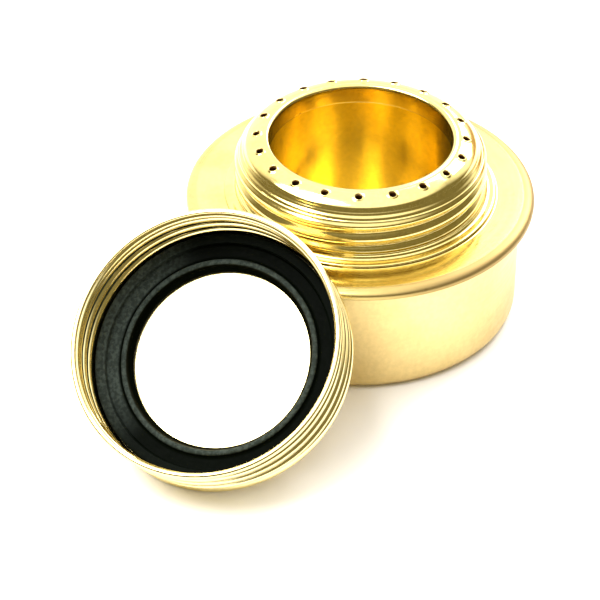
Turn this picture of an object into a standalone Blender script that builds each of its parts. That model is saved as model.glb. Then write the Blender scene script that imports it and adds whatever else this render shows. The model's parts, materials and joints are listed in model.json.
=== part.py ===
"""Brass spirit burner with its screw cap leaning against it.

The burner stands on z = 0 with its axis on the Z axis. All sizes are in metres.
Each sheet-metal piece is a turned profile: a closed outline of (radius, height) points.
"""

from math import cos, pi, radians, sin, tan

import bmesh
import bpy
from mathutils import Euler, Matrix, Vector

MM = 0.001

# Driving dimensions
SEGMENTS = 40                 # steps in one turn of every round piece
FIT_GAP = 0.3 * MM            # clearance between neighbouring pieces
SHEET = 0.6 * MM              # brass sheet thickness

FLANGE_RADIUS = 37.5 * MM
FLANGE_TOP = 27.8 * MM
CUP_RADIUS = 34.6 * MM
CUP_CORNER = 2.5 * MM
FLANGE_FOOT = 29.7 * MM       # where the flange turns up into the neck
HEM_HEIGHT = 1.9 * MM         # flange top down to the folded edge
HEM_REACH = 0.8 * MM          # gap between the folded edge and the cup
NECK_CREST = 26.9 * MM        # outer radius of the screw thread
NECK_VALLEY = 26.0 * MM
SHOULDER_RADIUS = 25.2 * MM
SHOULDER_HEIGHT = 38.8 * MM
CREST_RADIUS = 20.9 * MM      # highest ring of the dome
CREST_HEIGHT = 41.3 * MM
MOUTH_RADIUS = 19.4 * MM
MOUTH_LIP = 4.5 * MM          # how far the lip turns down into the mouth
THREAD_PITCH = 3.3 * MM
THREAD_START = 30.1 * MM      # height of the lowest thread crest
THREAD_TURNS = 3

JET_COUNT = 20
JET_CIRCLE = 22.2 * MM
JET_RADIUS = 0.7 * MM
JET_PHASE = radians(-92.6)    # first jet, measured from +X

SLEEVE_RADIUS = 20.2 * MM     # inner face of the inner tube
PORT_COUNT = 4
PORT_WIDTH = 6.0 * MM
PORT_HEIGHT = 3.0 * MM
WICK_THICKNESS = 2.0 * MM
WICK_TOP = 34.0 * MM

CAP_RADIUS = 27.85 * MM       # over the rolled rim
CAP_HEIGHT = 14.5 * MM
CAP_SHEET = 0.5 * MM
CAP_CREST = 27.6 * MM         # over the closed end and the thread ridges
CAP_VALLEY = 26.9 * MM
CAP_CORNER = 1.4 * MM
CAP_THREAD_START = 4.2 * MM
GROOVE_RADIUS = 24.0 * MM     # pressed ring that stiffens the closed end
GROOVE_DEPTH = 0.4 * MM
SEAL_RADIUS = 25.9 * MM
SEAL_BORE = 19.1 * MM
SEAL_FOOT_BORE = 18.0 * MM    # the bore narrows towards the closed end
SEAL_HEIGHT = 4.2 * MM        # top of the seal's outer step
SEAL_FLOOR = 2.5 * MM         # where the jets' ring sits over the rubber
BEAD_RADIUS = 20.1 * MM
BEAD_HEIGHT = 3.4 * MM

# How the cap leans: its axis leaves the ground plane at CAP_RISE, its open side turned
# CAP_HEADING from -Y towards -X, and its axis passes CAP_OFFSET to the side of the burner's.
CAP_RISE = radians(52.8)
CAP_HEADING = radians(22.4)
CAP_OFFSET = -9.6 * MM
LEAN_GAP = 0.15 * MM          # between the closed end and the flange's edge


def clear_scene():
    for obj in list(bpy.data.objects):
        bpy.data.objects.remove(obj, do_unlink=True)


def finish(name, color, metallic, roughness):
    """A plain Principled material."""
    material = bpy.data.materials.new(name)
    material.use_nodes = True
    shader = material.node_tree.nodes["Principled BSDF"]
    shader.inputs["Base Color"].default_value = (*color, 1.0)
    shader.inputs["Metallic"].default_value = metallic
    shader.inputs["Roughness"].default_value = roughness
    return material


def arc(radius, height, size, start, end, steps=3):
    """Points on a circle of this size round (radius, height), from start to end in degrees."""
    angles = [radians(start + (end - start) * i / steps) for i in range(steps + 1)]
    return [(radius + size * cos(a), height + size * sin(a)) for a in angles]


def turned(name, outline, material):
    """A solid of revolution about Z. An outline that starts and ends on the axis is closed by its caps."""
    mesh = bpy.data.meshes.new(name)
    bm = bmesh.new()
    ring = [bm.verts.new((r, 0.0, z)) for r, z in outline]
    edges = [bm.edges.new(pair) for pair in zip(ring, ring[1:])]
    if outline[0][0] > 0:
        edges.append(bm.edges.new((ring[-1], ring[0])))
    bmesh.ops.spin(
        bm, geom=ring + edges, cent=(0, 0, 0), axis=(0, 0, 1), angle=2 * pi, steps=SEGMENTS, use_merge=True
    )
    bmesh.ops.remove_doubles(bm, verts=bm.verts, dist=1e-6)
    bmesh.ops.dissolve_degenerate(bm, edges=bm.edges, dist=1e-7)
    bmesh.ops.recalc_face_normals(bm, faces=bm.faces)
    bm.to_mesh(mesh)
    bm.free()
    mesh.shade_smooth()
    mesh.set_sharp_from_angle(angle=radians(35))
    mesh.materials.append(material)
    obj = bpy.data.objects.new(name, mesh)
    bpy.context.scene.collection.objects.link(obj)
    return obj


def joined_cutter(name, make_one, places):
    """One hidden mesh that holds a copy of the same closed shape at every place."""
    mesh = bpy.data.meshes.new(name)
    bm = bmesh.new()
    for place in places:
        make_one(bm, place)
    bmesh.ops.recalc_face_normals(bm, faces=bm.faces)
    bm.to_mesh(mesh)
    bm.free()
    cutter = bpy.data.objects.new(name, mesh)
    cutter.hide_render = True
    cutter.display_type = "WIRE"
    bpy.context.scene.collection.objects.link(cutter)
    return cutter


def cut(obj, cutter):
    modifier = obj.modifiers.new("cut", "BOOLEAN")
    modifier.operation = "DIFFERENCE"
    modifier.solver = "EXACT"
    modifier.object = cutter


def thread_rings(start, crest, valley):
    """The outline of a rolled thread as rings: valley, crest, valley for each turn, going up."""
    half_foot = 0.42 * THREAD_PITCH
    half_crest = 0.12 * THREAD_PITCH
    points = []
    for turn in range(THREAD_TURNS):
        middle = start + THREAD_PITCH * turn
        points += [
            (valley, middle - half_foot),
            (crest, middle - half_crest),
            (crest, middle + half_crest),
            (valley, middle + half_foot),
        ]
    return points


def make_fuel_cup(material):
    """The outer cup, drawn from sheet, with a small flange that the neck is folded round."""
    flange_top = FLANGE_TOP - 0.5 * MM - FIT_GAP
    flange_under = flange_top - 0.4 * MM
    flange_edge = FLANGE_RADIUS - SHEET - FIT_GAP
    inner = CUP_RADIUS - SHEET
    outline = [(0.0, 0.0)]
    outline += arc(CUP_RADIUS - CUP_CORNER, CUP_CORNER, CUP_CORNER, -90, 0)
    outline += [
        (CUP_RADIUS, flange_under),
        (flange_edge, flange_under),
        (flange_edge, flange_top),
        (inner, flange_top),
    ]
    outline += arc(inner - 2 * MM, SHEET + 2 * MM, 2 * MM, 0, -90, 2)
    outline += [(0.0, SHEET)]
    return turned("fuel_cup", outline, material)


def neck_outline():
    flange_under = FLANGE_TOP - 0.5 * MM
    hem_bottom = FLANGE_TOP - HEM_HEIGHT
    outside = [
        (CUP_RADIUS + HEM_REACH, hem_bottom),
        (FLANGE_RADIUS - 0.3 * MM, hem_bottom),
        (FLANGE_RADIUS, hem_bottom + 0.3 * MM),
        (FLANGE_RADIUS, FLANGE_TOP - 1.3 * MM),
        (FLANGE_RADIUS - 0.3 * MM, FLANGE_TOP - 0.7 * MM),
        (FLANGE_RADIUS - 1.0 * MM, FLANGE_TOP - 0.2 * MM),
        (FLANGE_RADIUS - 1.9 * MM, FLANGE_TOP),
        (FLANGE_FOOT + 0.3 * MM, FLANGE_TOP),
        (FLANGE_FOOT - 0.3 * MM, FLANGE_TOP + 0.6 * MM),
    ]
    outside += thread_rings(THREAD_START, NECK_CREST, NECK_VALLEY)
    outside += [
        (SHOULDER_RADIUS + 0.3 * MM, SHOULDER_HEIGHT - 0.5 * MM),
        (SHOULDER_RADIUS, SHOULDER_HEIGHT),
        (JET_CIRCLE + 1.5 * MM, CREST_HEIGHT - 1.3 * MM),
        (JET_CIRCLE, CREST_HEIGHT - 0.4 * MM),
        (CREST_RADIUS, CREST_HEIGHT),
        (MOUTH_RADIUS + 0.4 * MM, CREST_HEIGHT - 0.2 * MM),
        (MOUTH_RADIUS, CREST_HEIGHT - 0.9 * MM),
    ]
    lip_foot = CREST_HEIGHT - MOUTH_LIP
    inside = [
        (MOUTH_RADIUS, lip_foot),
        (MOUTH_RADIUS + 0.5 * MM, lip_foot),
        (MOUTH_RADIUS + 0.5 * MM, CREST_HEIGHT - 1.2 * MM),
        (CREST_RADIUS, CREST_HEIGHT - SHEET),
        (JET_CIRCLE + 1.2 * MM, CREST_HEIGHT - 1.9 * MM),
        (SHOULDER_RADIUS - SHEET, SHOULDER_HEIGHT - 0.4 * MM),
        (NECK_VALLEY - SHEET, SHOULDER_HEIGHT - 1.4 * MM),
        (NECK_VALLEY - SHEET, flange_under),
        (FLANGE_RADIUS - SHEET, flange_under),
        (FLANGE_RADIUS - SHEET, hem_bottom + 0.4 * MM),
        (CUP_RADIUS + HEM_REACH, hem_bottom + 0.4 * MM),
    ]
    return outside + inside


def jet_cylinder(bm, angle):
    place = Matrix.Translation((JET_CIRCLE * cos(angle), JET_CIRCLE * sin(angle), CREST_HEIGHT - 0.7 * MM))
    bmesh.ops.create_cone(
        bm, cap_ends=True, segments=8, radius1=JET_RADIUS, radius2=JET_RADIUS, depth=4 * MM, matrix=place
    )


def make_neck_shell(material):
    """The pressed top: hemmed flange, rolled screw thread, dome with the ring of jets, and inner lip."""
    neck = turned("neck_shell", neck_outline(), material)
    angles = [JET_PHASE + 2 * pi * i / JET_COUNT for i in range(JET_COUNT)]
    cut(neck, joined_cutter("jet_cutter", jet_cylinder, angles))
    return neck


def port_block(bm, angle):
    turn = Matrix.Rotation(angle, 4, "Z")
    slide = Matrix.Translation((SLEEVE_RADIUS + SHEET / 2, 0, 0))
    size = Matrix.Diagonal((4 * MM, PORT_WIDTH, 2 * PORT_HEIGHT + SHEET * 2, 1.0))
    bmesh.ops.create_cube(bm, size=1.0, matrix=turn @ slide @ size)


def make_inner_sleeve(material):
    """The tube that lines the mouth. Ports at its foot let the spirit into the jacket."""
    foot = SHEET + FIT_GAP
    top = CREST_HEIGHT - 1.8 * MM
    outline = [
        (SLEEVE_RADIUS, foot),
        (SLEEVE_RADIUS + 0.5 * MM, foot),
        (SLEEVE_RADIUS + 0.5 * MM, top),
        (SLEEVE_RADIUS, top),
    ]
    sleeve = turned("inner_sleeve", outline, material)
    quarter = 2 * pi / PORT_COUNT
    cut(sleeve, joined_cutter("port_cutter", port_block, [quarter * i for i in range(PORT_COUNT)]))
    return sleeve


def make_wick(material):
    """The fibre wrap round the sleeve, inside the jacket."""
    inner = SLEEVE_RADIUS + 0.5 * MM + FIT_GAP
    foot = SHEET + FIT_GAP
    outline = [
        (inner, foot),
        (inner + WICK_THICKNESS, foot),
        (inner + WICK_THICKNESS, WICK_TOP),
        (inner, WICK_TOP),
    ]
    return turned("wick", outline, material)


def make_cap_shell(material):
    """The screw cap, closed end down: grooved end, corner, rolled thread and rolled rim."""
    inner_crest = CAP_CREST - CAP_SHEET
    threads_out = thread_rings(CAP_THREAD_START, CAP_CREST, CAP_VALLEY)
    threads_in = [(r - CAP_SHEET, z) for r, z in reversed(threads_out)]
    groove_out = [
        (GROOVE_RADIUS - 1.1 * MM, 0.0),
        (GROOVE_RADIUS - 0.6 * MM, GROOVE_DEPTH),
        (GROOVE_RADIUS + 0.6 * MM, GROOVE_DEPTH),
        (GROOVE_RADIUS + 1.1 * MM, 0.0),
    ]
    groove_in = [(r, z + CAP_SHEET) for r, z in reversed(groove_out)]
    outline = [(0.0, 0.0)] + groove_out
    outline += arc(CAP_CREST - CAP_CORNER, CAP_CORNER, CAP_CORNER, -90, 0)
    outline += [(CAP_CREST, CAP_CORNER + 0.5 * MM)]
    outline += threads_out
    outline += [
        (CAP_RADIUS, CAP_HEIGHT - 1.2 * MM),
        (CAP_RADIUS, CAP_HEIGHT - 0.4 * MM),
        (CAP_RADIUS - 0.5 * MM, CAP_HEIGHT),
        (CAP_RADIUS - 1.1 * MM, CAP_HEIGHT - 0.3 * MM),
    ]
    outline += threads_in
    outline += [
        (inner_crest, CAP_CORNER + 0.5 * MM),
        (inner_crest, CAP_SHEET + 0.8 * MM),
        (inner_crest - 0.8 * MM, CAP_SHEET),
    ]
    outline += groove_in + [(0.0, CAP_SHEET)]
    return turned("cap_shell", outline, material)


def make_cap_seal(material):
    """The rubber ring in the bottom of the cap, with the bead that shuts the burner's mouth."""
    foot = CAP_SHEET + FIT_GAP
    over_groove = foot + GROOVE_DEPTH
    outline = [
        (SEAL_FOOT_BORE, foot),
        (GROOVE_RADIUS - 1.6 * MM, foot),
        (GROOVE_RADIUS - 1.1 * MM, over_groove),
        (SEAL_RADIUS - 0.7 * MM, over_groove),
        (SEAL_RADIUS, over_groove + 0.7 * MM),
        (SEAL_RADIUS, SEAL_HEIGHT - 0.3 * MM),
        (SEAL_RADIUS - 0.4 * MM, SEAL_HEIGHT),
        (GROOVE_RADIUS - 0.2 * MM, SEAL_HEIGHT - 0.1 * MM),
        (GROOVE_RADIUS - 0.6 * MM, SEAL_FLOOR + 0.1 * MM),
        (BEAD_RADIUS + 0.8 * MM, SEAL_FLOOR),
        (BEAD_RADIUS + 0.5 * MM, BEAD_HEIGHT - 0.3 * MM),
        (BEAD_RADIUS, BEAD_HEIGHT),
        (BEAD_RADIUS - 0.6 * MM, BEAD_HEIGHT - 0.2 * MM),
        (SEAL_BORE + 0.2 * MM, SEAL_FLOOR - 0.3 * MM),
        (SEAL_BORE, SEAL_FLOOR - 0.5 * MM),
        (SEAL_FOOT_BORE, foot + 0.4 * MM),
    ]
    return turned("cap_seal", outline, material)


def cap_place():
    """Where the cap lies: its lower corner on the ground, its closed end against the flange's edge."""
    opening = Vector((-sin(CAP_HEADING), -cos(CAP_HEADING), 0.0))
    sideways = Vector((cos(CAP_HEADING), -sin(CAP_HEADING), 0.0))
    end_height = (CAP_CREST - CAP_CORNER) * cos(CAP_RISE) + CAP_CORNER * (1 - sin(CAP_RISE))
    touch_radius = FLANGE_RADIUS - 0.3 * MM
    touch_height = FLANGE_TOP - 0.7 * MM
    reach = touch_radius + (touch_height - end_height) * tan(CAP_RISE) + LEAN_GAP / cos(CAP_RISE)
    return opening * reach + sideways * CAP_OFFSET + Vector((0, 0, end_height))


def main():
    clear_scene()
    brass = finish("drawn_brass", (0.86, 0.66, 0.30), 1.0, 0.28)
    polished = finish("polished_brass", (0.90, 0.72, 0.34), 1.0, 0.12)
    liner = finish("tube_brass", (0.84, 0.60, 0.24), 1.0, 0.22)
    fibre = finish("wick_fibre", (0.72, 0.68, 0.58), 0.0, 0.95)
    lid_brass = finish("cap_brass", (0.90, 0.72, 0.36), 1.0, 0.15)
    rubber = finish("black_rubber", (0.025, 0.03, 0.025), 0.0, 0.6)

    make_fuel_cup(brass)
    make_neck_shell(polished)
    make_inner_sleeve(liner)
    make_wick(fibre)

    cap = bpy.data.objects.new("cap_pose", None)
    bpy.context.scene.collection.objects.link(cap)
    cap.location = cap_place()
    cap.rotation_euler = Euler((pi / 2 - CAP_RISE, 0.0, -CAP_HEADING))
    for piece in (make_cap_shell(lid_brass), make_cap_seal(rubber)):
        piece.parent = cap


main()
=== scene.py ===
import json
from math import atan2, cos, exp, hypot, pi, radians, sin

import bmesh
import bpy
from mathutils import Matrix, Vector, noise


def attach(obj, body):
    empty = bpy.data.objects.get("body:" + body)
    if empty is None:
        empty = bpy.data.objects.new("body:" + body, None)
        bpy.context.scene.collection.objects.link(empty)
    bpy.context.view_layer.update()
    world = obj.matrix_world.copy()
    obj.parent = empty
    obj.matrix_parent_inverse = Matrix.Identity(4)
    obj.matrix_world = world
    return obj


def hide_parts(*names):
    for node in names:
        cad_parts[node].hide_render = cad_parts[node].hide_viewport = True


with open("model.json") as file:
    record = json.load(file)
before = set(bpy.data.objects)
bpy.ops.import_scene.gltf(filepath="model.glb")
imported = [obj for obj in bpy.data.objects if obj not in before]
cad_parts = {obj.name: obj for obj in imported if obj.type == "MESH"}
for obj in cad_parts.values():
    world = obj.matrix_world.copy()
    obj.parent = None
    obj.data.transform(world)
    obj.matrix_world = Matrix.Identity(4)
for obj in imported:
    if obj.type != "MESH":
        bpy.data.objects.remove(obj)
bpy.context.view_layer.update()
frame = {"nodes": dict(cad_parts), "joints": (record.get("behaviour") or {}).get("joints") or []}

MM = 0.001
MERGE = 2e-6            # metres within which two points are one

# Points in one turn of a turned shape.
SEGMENTS = 288
THREAD_SEGMENTS = 320
SLEEVE_SEGMENTS = 240
WICK_SEGMENTS = 220

# Shape of the burner, in millimetres. Heights are above the rest face.
CUP_R = 34.6
CUP_CORNER = 2.5
CUP_SHEET = 0.4
BASE_RING_R = 27.2
BASE_RING_SIZE = 0.5
FLANGE_R = 37.5
FLANGE_TOP = 27.8
HEM_BOTTOM = 25.9
HEM_BAND = 2.45         # width of the band round the flange that carries a painted brown reflection
EDGE_REACH = 1.9        # the flange's rounded edge, along the radius and in height
EDGE_RISE = 1.25
FOOT_R = 29.0
NECK_SHEET = 0.3
NECK_CREST = 26.9
NECK_VALLEY = 26.0
PITCH = 3.3
THREAD_ROWS = 72
SHOULDER_R = 25.2
SHOULDER_Z = 38.8
CREST_R = 20.9
CREST_Z = 41.3
MOUTH_R = 19.4
MOUTH_ROLL = 0.75
LIP_DEPTH = 4.4
SLEEVE_R = 20.2
SLEEVE_FOOT = 0.95
SLEEVE_SHEET = 0.4
PORTS = 4
PORT_HALF = 3.0         # half the width of a port, the height of its sides, and its arch's rise
PORT_SIDE = 2.0
PORT_ARCH = 1.6
WICK_R = 21.0
WICK_WIDE = 2.0
WICK_FOOT = 1.1
WICK_TOP = 34.0

# The jets, and the sloping band that carries them, as its outer and its inner edge.
JETS = 20
JET_R = 0.72
JET_CIRCLE = 22.2
JET_PHASE = radians(-92.6)
JET_STEP = 2 * pi / JETS
JET_BAND = ((23.4, 40.55), (21.2, 41.24))
JET_ACROSS = 0.545      # how far across the band a jet sits
JET_SCATTER = 0.10      # how far a punch strays, and how much its size varies
JET_VARIES = 0.7
JET_SEED = 7
JET_DEPTHS = (0.25, 0.9, 1.6)
JET_RINGS = (0.0, 0.25, 0.45, 0.60, 0.72, 0.82, 0.90, 0.96, 1.0)
DARKENED_RING = 0.7        # the rings past this share of the way in to the hole are tinted darker brown
BAND_BULGE = 0.10
BURR_HEIGHT = 0.26

# The neck's points stand at these angles, so that every jet has the same share of each edge.
PER_JET = THREAD_SEGMENTS // JETS
NECK_ANGLES = [JET_PHASE + JET_STEP * (i / PER_JET - 0.5) for i in range(THREAD_SEGMENTS)]

# Shape of the cap, in millimetres, from its closed end at 0 to its rim.
CAP_R = 27.75
CAP_TALL = 14.5
CAP_CREST = 27.5
CAP_VALLEY = 26.6
CAP_THREAD_ROWS = 66
CAP_CORNER = 1.4
CAP_SHEET = 0.4
GROOVE_R = 24.0
GROOVE_DEPTH = 0.4
SATIN_R = 21.0          # the closed end is duller than the rest inside this radius
SEAL_R = 25.9
SEAL_FOOT = 0.85
SEAL_FLOOR = 2.5
SEAL_TOP = 4.15
SEAL_STEP_R = GROOVE_R - 0.3
BEAD_R = 20.1
BEAD_TOP = 3.4
BORE_R = 19.15
FOOT_BORE_R = 18.5
# the side of the seal's floor that is painted lighter, partly dusty and partly a painted sheen
LIGHTER_SIDE_ANGLE = radians(180)

# Tints on the brass: real specks of dirt, a painted brown reflection on the flange's outer band, and a
# darker brown inside and round the jet holes.
SPECK_TINT = (0.10, 0.075, 0.02, 1)
HEM_REFLECTION_TINT = (0.29, 0.20, 0.075, 1)
JET_HOLE_TINT = (0.20, 0.09, 0.035, 1)

# Studio and camera. Places are in metres, the lens and its sensor in millimetres.
WORLD_STRENGTH = 1.5
EXPOSURE = 0.45
FLOOR_SIZE = 6.0
FLOOR_DROP = 0.00005    # keeps the floor just under the rest face
FLOOR_TINT = (0.96, 0.945, 0.9225, 1)
CAMERA_ELEVATION = radians(37.84)
CAMERA_TARGET = Vector((-0.01292, 0, -0.00285))
CAMERA_DISTANCE = 0.5135
LENS = 138
SENSOR = 36


# Mesh helpers

def smoothstep(low, high, x):
    t = min(max((x - low) / (high - low), 0.0), 1.0)
    return t * t * (3 - 2 * t)


def arc(radius, height, size, start, end, steps):
    """Points on a circle of this size round (radius, height), from start to end in degrees."""
    angles = [radians(start + (end - start) * i / steps) for i in range(steps + 1)]
    return [(radius + size * cos(a), height + size * sin(a)) for a in angles]


def resample(points, step):
    """The same polyline, cut into stretches of about this length."""
    out = [points[0]]
    for (r0, z0), (r1, z1) in zip(points, points[1:]):
        count = max(1, round(hypot(r1 - r0, z1 - z0) / step))
        for i in range(1, count + 1):
            out.append((r0 + (r1 - r0) * i / count, z0 + (z1 - z0) * i / count))
    return out


def smoothed(points, passes):
    """Rounds the corners of a closely spaced polyline, holding its ends."""
    for _ in range(passes):
        inner = [
            ((a[0] + 2 * b[0] + c[0]) / 4, (a[1] + 2 * b[1] + c[1]) / 4)
            for a, b, c in zip(points, points[1:], points[2:])
        ]
        points = [points[0]] + inner + [points[-1]]
    return points


def place_of(r, angle, z):
    return Vector((r * cos(angle), r * sin(angle), z)) * MM


def new_object(name, bm, place=None):
    """The mesh as an object. Each point keeps where it was made in "rest", then goes to its place."""
    bmesh.ops.remove_doubles(bm, verts=bm.verts, dist=MERGE)
    rest = bm.verts.layers.float_vector.new("rest")
    for vert in bm.verts:
        vert[rest] = vert.co
    if place:
        bmesh.ops.transform(bm, matrix=place, verts=bm.verts)
    mesh = bpy.data.meshes.new(name)
    bm.to_mesh(mesh)
    bm.free()
    mesh.shade_smooth()
    obj = bpy.data.objects.new(name, mesh)
    bpy.context.scene.collection.objects.link(obj)
    return obj


def join(bm, low, high):
    """Faces between two rings of points, either of which may be one point on the axis."""
    count = max(len(low), len(high))
    for i in range(count):
        j = (i + 1) % count
        corners = (low[i % len(low)], low[j % len(low)], high[j % len(high)], high[i % len(high)])
        bm.faces.new(tuple(dict.fromkeys(corners)))


def skin(bm, rows):
    for low, high in zip(rows, rows[1:]):
        join(bm, low, high)


def turned_surface(bm, profile, segments, shape=None, closed=False):
    """Sweeps a profile round Z. shape(r, z, angle) may move a point."""
    rows = []
    for r, z in profile:
        if r < 1e-6:
            rows.append([bm.verts.new((0, 0, z * MM))])
            continue
        row = []
        for i in range(segments):
            angle = 2 * pi * i / segments
            rr, zz = shape(r, z, angle) if shape else (r, z)
            row.append(bm.verts.new(place_of(rr, angle, zz)))
        rows.append(row)
    skin(bm, rows)
    if closed:
        join(bm, rows[-1], rows[0])
    return rows


def thicken(obj, sheet, inwards=True):
    modifier = obj.modifiers.new("sheet", "SOLIDIFY")
    modifier.thickness = sheet * MM
    modifier.offset = -1.0 if inwards else 1.0
    modifier.use_even_offset = True
    modifier.thickness_clamp = 0.0


# Materials

class Graph:
    """Short calls that add a node to a tree, with its inputs set or linked."""

    def __init__(self, tree):
        self.tree = tree

    def put(self, socket, value):
        if isinstance(value, bpy.types.NodeSocket):
            self.tree.links.new(value, socket)
        else:
            socket.default_value = value

    def add(self, kind, inputs=None, **settings):
        node = self.tree.nodes.new(kind)
        for key, value in settings.items():
            setattr(node, key, value)
        for key, value in (inputs or {}).items():
            self.put(node.inputs[key], value)
        return node

    def math(self, operation, a, b=0.0):
        return self.add("ShaderNodeMath", {0: a, 1: b}, operation=operation).outputs[0]

    def ramp(self, value, low, high, start=0.0, end=1.0):
        inputs = {"Value": value, "From Min": low, "From Max": high, "To Min": start, "To Max": end}
        return self.add("ShaderNodeMapRange", inputs, interpolation_type="SMOOTHSTEP").outputs["Result"]

    def blend(self, factor, first, second, blend_type="MIX"):
        """A mix of two colours, whose sockets are the node's seventh and eighth."""
        inputs = {0: factor, 6: first, 7: second}
        return self.add("ShaderNodeMix", inputs, data_type="RGBA", blend_type=blend_type).outputs[2]


class Surface(Graph):
    """A new material, whose patterns follow the shape as it was made."""

    def __init__(self, name):
        self.material = bpy.data.materials.new(name)
        self.material.use_nodes = True
        super().__init__(self.material.node_tree)
        self.coords = self.add("ShaderNodeAttribute", attribute_name="rest").outputs["Vector"]

    def shade(self, name, value):
        self.put(self.tree.nodes["Principled BSDF"].inputs[name], value)

    def noise(self, scale, detail=3.0, roughness=0.55, vector=None, distortion=0.0):
        inputs = {
            "Vector": vector or self.coords,
            "Scale": scale,
            "Detail": detail,
            "Roughness": roughness,
            "Distortion": distortion,
        }
        return self.add("ShaderNodeTexNoise", inputs).outputs["Fac"]

    def attribute(self, name):
        return self.add("ShaderNodeAttribute", attribute_name=name).outputs["Fac"]

    def bump(self, height, strength, distance, normal=None):
        inputs = {"Height": height, "Strength": strength, "Distance": distance}
        if normal:
            inputs["Normal"] = normal
        return self.add("ShaderNodeBump", inputs).outputs["Normal"]

    def turned_coords(self, across=1.0, around=0.0004):
        """A vector in which marks run round the axis, or along it when across is small."""
        x, y, z = self.add("ShaderNodeSeparateXYZ", {0: self.coords}).outputs
        square = self.math("ADD", self.math("MULTIPLY", x, x), self.math("MULTIPLY", y, y))
        radius = self.math("MULTIPLY", self.math("SQRT", square), across)
        angle = self.math("MULTIPLY", self.math("ARCTAN2", y, x), around)
        height = self.math("MULTIPLY", z, across)
        return self.add("ShaderNodeCombineXYZ", {0: radius, 1: angle, 2: height}).outputs[0]


def brass(
    name, clean, tarnished, rough, spread,
    marks=0.1, mottle=0.0, stain=0.25, specks=0.0, satin=0.0, jet_and_hem_tints=False, drawn=False,
):
    """Brass with tool marks, a warm tarnish in patches, and small stains.

    clean and tarnished are tints; rough and spread the middle and width of the gloss; marks,
    mottle, stain and specks the strength of each kind of detail; satin the roughness that the
    attribute "satin" adds. With the jet and hem flag, one attribute darkens to brown inside and
    round the jet holes, and another paints a brown reflection on the flange's outer band. Marks run
    round the axis, or along it on a drawn tube.
    """
    n = Surface(name)
    n.shade("Metallic", 1.0)
    patches = n.ramp(n.noise(70, 4, 0.6), 0.38, 0.68)
    fine = n.noise(900, 3, 0.6)
    if drawn:
        lines = n.noise(160, 3, 0.6, vector=n.turned_coords(0.05, 0.02))
    else:
        lines = n.noise(2600, 2, 0.7, vector=n.turned_coords())

    tint = n.blend(n.math("MULTIPLY", patches, stain), (*clean, 1), (*tarnished, 1))
    grain = n.ramp(fine, 0.30, 0.72, 0.93, 1.03)
    grain_tint = n.add("ShaderNodeCombineColor", {0: grain, 1: grain, 2: grain}).outputs[0]
    tint = n.blend(1.0, tint, grain_tint, "MULTIPLY")
    if specks:
        dots = n.add("ShaderNodeTexVoronoi", {"Vector": n.coords, "Scale": 260.0}, feature="F1")
        near = n.ramp(dots.outputs["Distance"], 0.05, 0.16, 1.0, 0.0)
        rare = n.ramp(n.noise(190, 1, 0.5), 0.60, 0.66)
        spot = n.math("MULTIPLY", n.math("MULTIPLY", near, rare), specks)
        tint = n.blend(spot, tint, SPECK_TINT)

    gloss = n.ramp(lines, 0.25, 0.75, rough - spread, rough + spread)
    gloss = n.math("ADD", gloss, n.math("MULTIPLY", patches, 0.05))
    # The flange band's brown is a painted reflection, stronger on the right side; the jet holes get a
    # darker brown inside and round them.
    if jet_and_hem_tints:
        jet_hole_dark = n.attribute("jet_hole_dark")
        hem = n.attribute("hem")
        tint = n.blend(n.math("MULTIPLY", hem, 0.95), tint, HEM_REFLECTION_TINT)
        tint = n.blend(jet_hole_dark, tint, JET_HOLE_TINT)
        gloss = n.math("ADD", gloss, n.math("MULTIPLY", n.math("ADD", jet_hole_dark, hem), 0.30))
    if satin:
        gloss = n.math("ADD", gloss, n.math("MULTIPLY", n.attribute("satin"), satin))
    n.shade("Base Color", tint)
    n.shade("Roughness", gloss)

    normal = n.bump(lines, marks, 0.00004)
    if mottle:
        normal = n.bump(n.noise(1500, 4, 0.65), mottle, 0.00008, normal)
    n.shade("Normal", normal)
    return n.material


def rubber():
    """Black rubber with a grey bloom, a painted highlight strip round the bead, a lighter patch on one
    side that is partly dusty and partly painted sheen, and fine moulding lines.
    """
    n = Surface("seal_rubber_detail")
    scuff_map = n.noise(1300, 5, 0.6)
    streaks = n.noise(900, 3, 0.6, vector=n.turned_coords(around=0.008))
    scuffs = n.ramp(n.math("ADD", scuff_map, n.math("MULTIPLY", streaks, 0.25)), 0.48, 0.80)
    amount = n.math("MULTIPLY", n.attribute("dust_and_sheen"), n.ramp(scuffs, 0.0, 1.0, 0.5, 1.0))
    base = n.blend(n.noise(300, 3, 0.6), (0.0005, 0.0009, 0.0004, 1), (0.0014, 0.0024, 0.0011, 1))
    # The grey-green mixed in is dust and painted sheen: a painted highlight strip on the bead and a
    # lighter painted sheen on one side.
    n.shade("Base Color", n.blend(amount, base, (0.080, 0.100, 0.085, 1)))
    gloss = n.ramp(scuff_map, 0.3, 0.7, 0.34, 0.48)
    n.shade("Roughness", n.math("ADD", gloss, n.math("MULTIPLY", amount, 0.25)))
    n.shade("Specular IOR Level", 0.008)
    pores = n.bump(n.noise(2400, 4, 0.7), 0.25, 0.00004)
    n.shade("Normal", n.bump(streaks, 0.3, 0.00005, pores))
    return n.material


def fibre():
    """Packed fibre: matted strands, cream with a little scorching."""
    n = Surface("wick_fibre_detail")
    stretched = n.add("ShaderNodeMapping", {"Vector": n.coords, "Scale": (1.0, 1.0, 0.25)}).outputs[0]
    strands = n.noise(2600, 6, 0.75, vector=stretched, distortion=1.5)
    tint = n.blend(n.ramp(strands, 0.3, 0.7), (0.36, 0.31, 0.22, 1), (0.78, 0.73, 0.62, 1))
    scorch = n.ramp(n.noise(120, 3), 0.5, 0.75, 0.0, 0.6)
    n.shade("Base Color", n.blend(scorch, tint, (0.30, 0.22, 0.12, 1)))
    n.shade("Roughness", 0.95)
    n.shade("Normal", n.bump(strands, 0.9, 0.0004))
    return n.material


# Burner pieces

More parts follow.
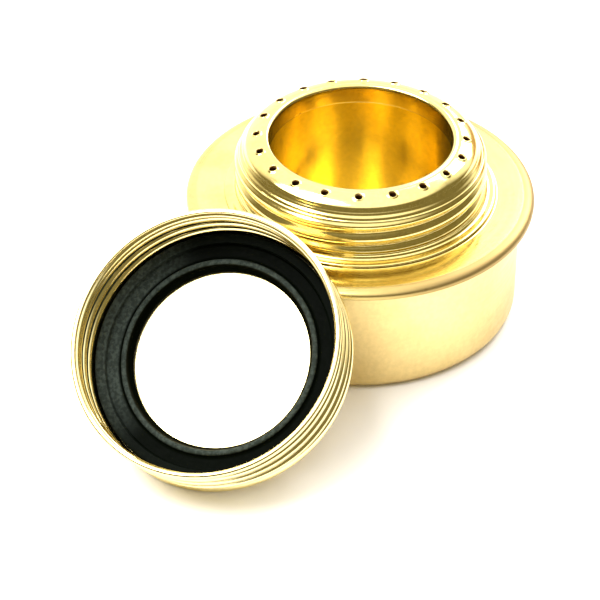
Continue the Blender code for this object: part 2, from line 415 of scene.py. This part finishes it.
def make_cup():
    """The drawn outer cup: a thin sheet pot with a soft corner and a small flange under the hem."""
    profile = [(0, 0), (BASE_RING_R - 1.2, 0)]
    profile += arc(BASE_RING_R, BASE_RING_SIZE, BASE_RING_SIZE, -150, -30, 5)
    profile += [(BASE_RING_R + 1.4, 0)]
    profile += arc(CUP_R - CUP_CORNER, CUP_CORNER, CUP_CORNER, -90, 0, 10)
    profile += [
        (CUP_R, HEM_BOTTOM + 0.5),
        (CUP_R + 0.15, HEM_BOTTOM + 0.68),
        (FLANGE_R - 1.0, HEM_BOTTOM + 0.72),
    ]

    def wobble(r, z, angle):
        """A drawn wall is never quite round."""
        out = 0.035 * sin(3 * angle + 0.6) + 0.02 * sin(7 * angle + z * 0.1)
        return r - 0.05 + out * smoothstep(20, 34, r) * (1 - smoothstep(20, 26, z)), z

    bm = bmesh.new()
    turned_surface(bm, resample(profile, 1.0), SEGMENTS, wobble)
    cup = new_object("fuel_cup_body", bm)
    thicken(cup, CUP_SHEET)
    return cup


def thread_height(z, angle, start, stop, fade, flat=False):
    """0 in the valley to 1 on the crest of a right-handed thread, faded out at both ends.

    A flat thread has wide crests and valleys with quick slopes between them.
    """
    turn = (z - start) / PITCH - angle / (2 * pi)
    wave = 0.5 - 0.5 * cos(2 * pi * turn)
    crest = smoothstep(0.12, 0.88, wave) if flat else wave ** 0.6
    return crest * smoothstep(start, start + fade, z) * (1 - smoothstep(stop - fade, stop, z))


def neck_lower_profile():
    """From the hem's folded edge, round the rim, over the flange to the foot of the thread."""
    points = [(CUP_R + 0.7, HEM_BOTTOM + 0.05), (FLANGE_R - 0.3, HEM_BOTTOM)]
    points += arc(FLANGE_R - 0.3, HEM_BOTTOM + 0.3, 0.3, -90, 0, 4)
    points += [
        (FLANGE_R - 0.02, HEM_BOTTOM + 0.42),
        (FLANGE_R - 0.1, HEM_BOTTOM + 0.5),
        (FLANGE_R, HEM_BOTTOM + 0.62),
    ]
    for degrees in range(0, 91, 9):
        out, up = cos(radians(degrees)), sin(radians(degrees))
        points.append((FLANGE_R - EDGE_REACH * (1 - out), FLANGE_TOP - EDGE_RISE * (1 - up)))
    points += [(FOOT_R + 0.5, FLANGE_TOP)]
    points += arc(FOOT_R + 0.35, FLANGE_TOP + 0.18, 0.18, -90, -180, 4)
    points += arc(FOOT_R - 0.25, FLANGE_TOP + 0.35, 0.42, 0, 90, 5)
    points += [(FOOT_R - 1.0, FLANGE_TOP + 0.76)]
    points += arc(FOOT_R - 1.3, FLANGE_TOP + 1.6, 0.9, -90, -170, 5)
    return smoothed(resample(points, 0.3), 2)


def dome_profile():
    """From the top of the thread over the shoulder to the outer edge of the jets' band."""
    points = [(NECK_VALLEY, SHOULDER_Z - 1.3), (NECK_VALLEY - 0.2, SHOULDER_Z - 0.8)]
    points += arc(SHOULDER_R - 0.7, SHOULDER_Z - 0.5, 0.75, 10, 60, 5)
    band_r, band_z = JET_BAND[0]
    points += [(band_r + 1.05, band_z - 0.75), (band_r + 0.55, band_z - 0.35), (band_r, band_z)]
    return smoothed(resample(points, 0.25), 2)


def crest_profile():
    """From the inner edge of the jets' band over the rolled mouth and down the lip."""
    points = [JET_BAND[1], (CREST_R, CREST_Z - 0.16), (CREST_R - 0.35, CREST_Z - 0.12)]
    points += arc(MOUTH_R + MOUTH_ROLL, CREST_Z - MOUTH_ROLL, MOUTH_ROLL, 60, 180, 8)
    points += [(MOUTH_R, CREST_Z - 2.4), (MOUTH_R + 0.05, CREST_Z - LIP_DEPTH)]
    return smoothed(resample(points, 0.25), 2)


def neck_row(bm, z, radii):
    return [bm.verts.new(place_of(r, angle, z)) for r, angle in zip(radii, NECK_ANGLES)]


def plain_rows(bm, profile):
    return [neck_row(bm, z, [r] * len(NECK_ANGLES)) for r, z in profile]


def thread_rows(bm, foot_r):
    """The rolled thread, whose wall starts at the foot's radius and draws in to its own."""
    start, stop = FLANGE_TOP + 1.5, SHOULDER_Z - 1.3
    rows = []
    for k in range(1, THREAD_ROWS + 1):
        z = start + (stop - start) * k / THREAD_ROWS
        base = foot_r + (NECK_VALLEY - foot_r) * smoothstep(start, start + 0.8, z)
        raised = [thread_height(z, angle, start - 0.4, stop + 0.5, 1.6) for angle in NECK_ANGLES]
        rows.append(neck_row(bm, z, [base + (NECK_CREST - base) * height for height in raised]))
    return rows


def band_point(s):
    """A point of the band that carries the jets: s is 0 at its outer edge and 1 at its inner edge."""
    (r0, z0), (r1, z1) = JET_BAND
    return r0 + (r1 - r0) * s, z0 + (z1 - z0) * s + BAND_BULGE * sin(pi * s)


def burr(distance):
    """Height of the raised rim that a punch leaves round a jet."""
    rim = BURR_HEIGHT * exp(-(((distance - JET_R - 0.18) / 0.17) ** 2))
    return rim - 0.10 * exp(-(((distance - JET_R) / 0.12) ** 2))


def patch_edge():
    """The outline of a jet's patch, as (u, v) along and across the band."""
    side = PER_JET // 2
    edge = [(-0.5 + i / PER_JET, 0.0) for i in range(PER_JET)]
    edge += [(0.5, i / side) for i in range(side)]
    edge += [(0.5 - i / PER_JET, 1.0) for i in range(PER_JET)]
    edge += [(-0.5, 1 - i / side) for i in range(side)]
    return edge


def add_jet(bm, jet_hole_dark, middle):
    """One patch of the band, whose rings close in from its outline on a round hole, then go down it."""
    (r0, z0), (r1, z1) = JET_BAND
    width = JET_CIRCLE * JET_STEP
    slant = hypot(r1 - r0, z1 - z0)
    shift = noise.random_vector() * JET_SCATTER
    u0, v0 = shift.x / width, JET_ACROSS + shift.y / slant
    size = JET_R * (1 + JET_VARIES * shift.z)
    rings = []
    for level in JET_RINGS:
        ring = []
        for u, v in patch_edge():
            dx, dy = (u - u0) * width, (v - v0) * slant
            to_hole = size / hypot(dx, dy)
            closer = 1 + (to_hole - 1) * level
            r, z = band_point(v0 + (v - v0) * closer)
            away = hypot(dx, dy) * closer
            if level:
                z += burr(away)
            vert = bm.verts.new(place_of(r, middle + (u0 + (u - u0) * closer) * JET_STEP, z))
            # A darker brown tint at the hole's edge.
            if level > DARKENED_RING:
                vert[jet_hole_dark] = 0.9 * (1 - smoothstep(size, size + 0.22, away))
            ring.append(vert)
        rings.append(ring)
    edge = rings[-1]
    # Down the hole, its wall is tinted darker brown all the way.
    for depth in JET_DEPTHS:
        ring = [bm.verts.new(vert.co - Vector((0, 0, depth * MM))) for vert in edge]
        for vert in ring:
            vert[jet_hole_dark] = 1.0
        rings.append(ring)
    skin(bm, rings)


def make_neck():
    """The pressed top in one sheet: hem, flange, helical thread, dome, punched jets, mouth and lip."""
    bm = bmesh.new()
    # A second layer can leave the first one's handle stale, so both exist before either is used.
    bm.verts.layers.float.new("jet_hole_dark")
    bm.verts.layers.float.new("hem")
    jet_hole_dark = bm.verts.layers.float["jet_hole_dark"]
    hem = bm.verts.layers.float["hem"]

    lower = neck_lower_profile()
    rows = plain_rows(bm, lower)
    # The flange's outer band gets a painted brown reflection, stronger on the right side.
    for (r, _), row in zip(lower, rows):
        banded = smoothstep(FLANGE_R - HEM_BAND - 0.15, FLANGE_R - HEM_BAND + 0.15, r)
        for vert in row:
            reflection_side = 0.35 + 0.65 * smoothstep(-0.3, 0.5, vert.co.x / vert.co.to_2d().length)
            vert[hem] = reflection_side * banded
    foot_r = lower[-1][0]
    skin(bm, rows + thread_rows(bm, foot_r) + plain_rows(bm, dome_profile()))
    skin(bm, plain_rows(bm, crest_profile()))

    noise.seed_set(JET_SEED)
    for jet in range(JETS):
        add_jet(bm, jet_hole_dark, JET_PHASE + jet * JET_STEP)
    neck = new_object("neck_shell_body", bm)
    thicken(neck, NECK_SHEET)
    return neck


def make_sleeve():
    """The mouth's lining tube, with arched ports at its foot and faint draw lines."""
    rows = 60
    height = CREST_Z - 2.0 - SLEEVE_FOOT

    def drawn(r, z, angle):
        return r + 0.05 * sin(5 * angle + 0.4) + 0.02 * sin(11 * angle + 1), z

    profile = [(SLEEVE_R + 0.05, SLEEVE_FOOT + height * k / rows) for k in range(rows + 1)]
    bm = bmesh.new()
    turned_surface(bm, profile, SLEEVE_SEGMENTS, drawn)

    ports = []
    for face in bm.faces:
        middle = face.calc_center_median() / MM
        turn = (atan2(middle.y, middle.x) + pi / PORTS) % (2 * pi / PORTS) - pi / PORTS
        across = turn * SLEEVE_R / PORT_HALF
        if abs(across) < 1 and middle.z - SLEEVE_FOOT < PORT_SIDE + PORT_ARCH * (1 - across ** 2):
            ports.append(face)
    bmesh.ops.delete(bm, geom=ports, context="FACES")
    sleeve = new_object("inner_sleeve_body", bm)
    thicken(sleeve, SLEEVE_SHEET, inwards=False)
    return sleeve


def make_wick():
    """A fibre strip wrapped round the sleeve, with an overlap seam and a fuzzy surface."""
    inner, outer = WICK_R + 0.1, WICK_R + WICK_WIDE - 0.15
    profile = [(inner, WICK_FOOT + 0.1), (outer - 0.3, WICK_FOOT), (outer, WICK_FOOT + 0.4)]
    profile += [(outer, WICK_TOP - 0.6)]
    profile += [(outer - 0.3, WICK_TOP - 0.15), (inner, WICK_TOP - 0.2)]

    def fuzz(r, z, angle):
        bump = 0.12 * noise.noise(Vector((r * cos(angle), r * sin(angle), z)) * 1.4)
        seam = -0.25 * exp(-((angle - 1.0) / 0.02) ** 2) if r > inner + 0.5 else 0.0
        return r + (bump + seam) * smoothstep(inner, outer, r), z

    bm = bmesh.new()
    turned_surface(bm, resample(profile, 0.6), WICK_SEGMENTS, fuzz, closed=True)
    return new_object("wick_wrap", bm)


# Cap pieces

def cap_end_profile():
    """Outer face of the cap's sheet, from the middle of its closed end over the groove and corner."""
    points = [(0, 0), (GROOVE_R - 1.1, 0), (GROOVE_R - 0.6, GROOVE_DEPTH), (GROOVE_R + 0.6, GROOVE_DEPTH)]
    points += [(GROOVE_R + 1.1, 0.0)]
    points += arc(CAP_CREST - CAP_CORNER, CAP_CORNER, CAP_CORNER, -90, 0, 8)
    points += [(CAP_CREST, CAP_CORNER + 0.5), (CAP_VALLEY, CAP_CORNER + 1.2)]
    return smoothed(resample(points, 0.35), 2)


def cap_rim_profile():
    """From the top of the thread out to the rim and over its roll."""
    points = [(CAP_VALLEY + 0.05, CAP_TALL - 1.8), (CAP_R - 0.35, CAP_TALL - 1.45)]
    points += arc(CAP_R - 0.55, CAP_TALL - 0.85, 0.55, -40, 0, 3)
    points += arc(CAP_R - 0.6, CAP_TALL - 0.6, 0.6, 0, 90, 7)
    points += arc(CAP_R - 0.75, CAP_TALL - 0.45, 0.45, 90, 175, 6)
    return smoothed(resample(points, 0.2), 1)


def make_cap(place):
    """The cap: end, corner, helical rolled thread that shows inside and out, and a rolled rim."""
    start, stop = CAP_CORNER + 1.2, CAP_TALL - 1.9
    heights = [start + (stop - start) * k / CAP_THREAD_ROWS for k in range(CAP_THREAD_ROWS + 1)]
    wall = [(CAP_VALLEY, z) for z in heights]
    profile = cap_end_profile()[:-1] + wall + cap_rim_profile()

    def threaded(r, z, angle):
        if z < start or z > stop or r < CAP_VALLEY - 0.1:
            return r, z
        raised = thread_height(z, angle, start, stop + 0.3, 1.5, flat=True)
        return r + (CAP_CREST - CAP_VALLEY) * raised, z

    bm = bmesh.new()
    satin = bm.verts.layers.float.new("satin")
    for (r, _), row in zip(profile, turned_surface(bm, profile, THREAD_SEGMENTS, threaded)):
        for vert in row:
            vert[satin] = 1 - smoothstep(SATIN_R - 0.5, SATIN_R + 0.5, r)
    cap = new_object("cap_shell_body", bm, place)
    thicken(cap, CAP_SHEET)
    return cap


def seal_profile():
    """The ring's section, from its foot round the outer step, over the floor and bead to its bore."""
    over_groove = SEAL_FOOT + GROOVE_DEPTH
    outside = SEAL_R - 0.05
    points = [(FOOT_BORE_R, SEAL_FOOT), (GROOVE_R - 1.7, SEAL_FOOT), (GROOVE_R - 1.1, over_groove)]
    points += [(SEAL_R - 0.7, over_groove), (outside, over_groove + 0.7), (outside, SEAL_TOP - 0.45)]
    points += arc(SEAL_R - 0.45, SEAL_TOP - 0.42, 0.40, 0, 90, 5)
    points += arc(SEAL_STEP_R + 0.3, SEAL_TOP - 0.35, 0.3, 90, 180, 5)
    points += arc(SEAL_STEP_R - 0.35, SEAL_FLOOR + 0.42, 0.35, 0, -90, 4)
    points += [(BEAD_R + 1.0, SEAL_FLOOR + 0.05), (BEAD_R + 0.65, SEAL_FLOOR + 0.2)]
    points += arc(BEAD_R, BEAD_TOP - 0.5, 0.5, 5, 90, 7)
    points += arc(BEAD_R - 0.25, BEAD_TOP - 0.42, 0.42, 90, 180, 6)
    points += [(BORE_R + 0.15, SEAL_FLOOR - 0.2), (BORE_R, SEAL_FLOOR - 0.5)]
    points += [(FOOT_BORE_R, SEAL_FOOT + 0.35)]
    return smoothed(resample(points, 0.2), 1)


def seal_dust_and_sheen(r, z, angle):
    """How much the rubber is lightened to grey: a painted highlight strip round the bead, and on one side
    of the floor a lighter patch, partly dusty and partly painted sheen; a little on the step.
    """
    side = 0.5 + 0.5 * cos(angle - LIGHTER_SIDE_ANGLE)
    step = smoothstep(SEAL_STEP_R - 0.2, SEAL_STEP_R + 0.2, r)
    step *= smoothstep(SEAL_TOP - 0.7, SEAL_TOP - 0.2, z)
    # The bead's share is a painted highlight strip round it; the one-sided share is partly dust and partly
    # painted sheen.
    bead = smoothstep(BEAD_TOP - 0.5, BEAD_TOP - 0.1, z)
    bead *= 1 - smoothstep(BEAD_R + 0.5, BEAD_R + 0.8, r)
    floor = smoothstep(BEAD_R + 0.9, BEAD_R + 1.5, r) * smoothstep(SEAL_FLOOR - 0.2, SEAL_FLOOR, z)
    lighter_side = smoothstep(0.72, 1.0, side) * floor
    return min(1.0, 0.5 * bead + (0.01 + 0.04 * side) * step + 0.6 * lighter_side)


def make_seal(place):
    """The rubber ring: outer step, floor under the jets, raised bead and the wall round the end."""
    profile = seal_profile()

    def worn(r, z, angle):
        lump = 0.03 * noise.noise(Vector((cos(angle) * 6, sin(angle) * 6, r * 0.8 + z)))
        shown = smoothstep(SEAL_FLOOR - 0.8, SEAL_FLOOR, z) * (1 - smoothstep(SEAL_TOP - 0.2, SEAL_TOP, z))
        return r, z + lump * shown

    bm = bmesh.new()
    dust_and_sheen = bm.verts.layers.float.new("dust_and_sheen")
    for (r, z), row in zip(profile, turned_surface(bm, profile, SEGMENTS, worn, closed=True)):
        for vert in row:
            vert[dust_and_sheen] = seal_dust_and_sheen(r, z, atan2(vert.co.y, vert.co.x))
    return new_object("cap_seal_ring", bm, place)


def cap_matrix():
    """Where the cap lies: its axis is the lift joint's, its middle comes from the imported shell."""
    joint = next(j for j in frame["joints"] if j["name"] == "cap_lift")
    axis = Vector(joint["axis"]).normalized()
    side = Vector((0, 0, 1)).cross(axis).normalized()
    up = axis.cross(side)
    points = [v.co for v in frame["nodes"]["cap_shell"].data.vertices]

    def middle(direction):
        along = [p.dot(direction) for p in points]
        return (min(along) + max(along)) / 2

    end = min(p.dot(axis) for p in points)
    origin = side * middle(side) + up * middle(up) + axis * end
    turn = Matrix((side, up, axis)).transposed().to_4x4()
    return Matrix.Translation(origin) @ turn


def settle(piece, body, node, material):
    piece.data.materials.clear()
    piece.data.materials.append(material)
    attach(piece, body)
    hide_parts(node)


# Studio

def make_floor():
    bpy.ops.mesh.primitive_plane_add(size=FLOOR_SIZE, location=(0, 0, -FLOOR_DROP))
    floor = bpy.context.object
    floor.name = "studio_floor"
    n = Surface("studio_paper")
    n.shade("Base Color", FLOOR_TINT)
    n.shade("Roughness", 0.7)
    n.shade("Specular IOR Level", 0.2)
    floor.data.materials.append(n.material)


def make_world():
    """White overhead and behind, a dark room at the front and sides, brown at the far right."""
    world = bpy.data.worlds.new("studio")
    bpy.context.scene.world = world
    world.use_nodes = True
    n = Graph(world.node_tree)
    coords = n.add("ShaderNodeTexCoord").outputs["Generated"]
    _, depth, height = n.add("ShaderNodeSeparateXYZ", {0: coords}).outputs
    overhead = n.ramp(height, 0.60, 0.84)
    behind = n.ramp(n.math("ADD", depth, n.math("MULTIPLY", height, 0.35)), 0.30, 0.75)
    white = n.math("MAXIMUM", overhead, behind)
    color = n.blend(white, (0.13, 0.115, 0.06, 1), (1.0, 0.99, 0.97, 1))
    far_right = Vector((0.62, 0.78, 0.0))
    facing = n.add("ShaderNodeVectorMath", {0: coords, 1: far_right}, operation="DOT_PRODUCT")
    color = n.blend(n.ramp(facing.outputs["Value"], 0.90, 0.98), color, (0.40, 0.26, 0.13, 1))
    back = n.tree.nodes["Background"]
    n.put(back.inputs["Color"], color)
    n.put(back.inputs["Strength"], WORLD_STRENGTH)


def area_light(name, place, target, size, power):
    data = bpy.data.lights.new(name, "AREA")
    data.shape = "SQUARE"
    data.size = size
    data.energy = power
    light = bpy.data.objects.new(name, data)
    light.location = place
    aim = Vector(target) - Vector(place)
    light.rotation_euler = aim.to_track_quat("-Z", "Y").to_euler()
    bpy.context.scene.collection.objects.link(light)


def make_camera():
    """A long lens, 38 degrees above the table, square on to the burner's front."""
    away = Vector((0, -cos(CAMERA_ELEVATION), sin(CAMERA_ELEVATION)))
    data = bpy.data.cameras.new("camera")
    data.lens = LENS
    data.sensor_width = SENSOR
    data.clip_start = 0.01
    camera = bpy.data.objects.new("camera", data)
    camera.location = CAMERA_TARGET + away * CAMERA_DISTANCE
    camera.rotation_euler = (-away).to_track_quat("-Z", "Y").to_euler()
    bpy.context.scene.collection.objects.link(camera)
    bpy.context.scene.camera = camera


def make_studio():
    make_camera()
    bpy.context.scene.view_settings.view_transform = "Standard"
    bpy.context.scene.view_settings.exposure = EXPOSURE
    make_world()
    make_floor()
    area_light("overhead_left", (-0.55, -0.15, 0.95), (-0.01, -0.02, 0.02), size=0.75, power=14)
    area_light("back_right", (0.45, 0.75, 0.65), (0, 0, 0.02), size=0.6, power=7)


def make_burner():
    cup = brass(
        "cup_brass_detail", clean=(0.72, 0.56, 0.25), tarnished=(0.60, 0.42, 0.16),
        rough=0.34, spread=0.05, mottle=0.35,
    )
    neck = brass(
        "neck_brass_detail", clean=(0.80, 0.65, 0.25), tarnished=(0.72, 0.51, 0.13),
        rough=0.12, spread=0.03, marks=0.05, mottle=0.04, stain=0.5, specks=0.8, jet_and_hem_tints=True,
    )
    sleeve = brass(
        "sleeve_brass_detail", clean=(0.97, 0.80, 0.20), tarnished=(0.94, 0.70, 0.12),
        rough=0.17, spread=0.04, marks=0.4, mottle=0.03, stain=0.15, drawn=True,
    )
    settle(make_cup(), "burner", "fuel_cup", cup)
    settle(make_neck(), "burner", "neck_shell", neck)
    settle(make_sleeve(), "burner", "inner_sleeve", sleeve)
    settle(make_wick(), "burner", "wick", fibre())


def make_lid():
    lid = brass(
        "cap_brass_detail", clean=(0.86, 0.74, 0.38), tarnished=(0.80, 0.62, 0.24),
        rough=0.07, spread=0.02, marks=0.04, mottle=0.02, stain=0.3, satin=0.22,
    )
    place = cap_matrix()
    settle(make_cap(place), "cap", "cap_shell", lid)
    settle(make_seal(place), "cap", "cap_seal", rubber())


make_studio()
make_burner()
make_lid()
bpy.context.view_layer.update()
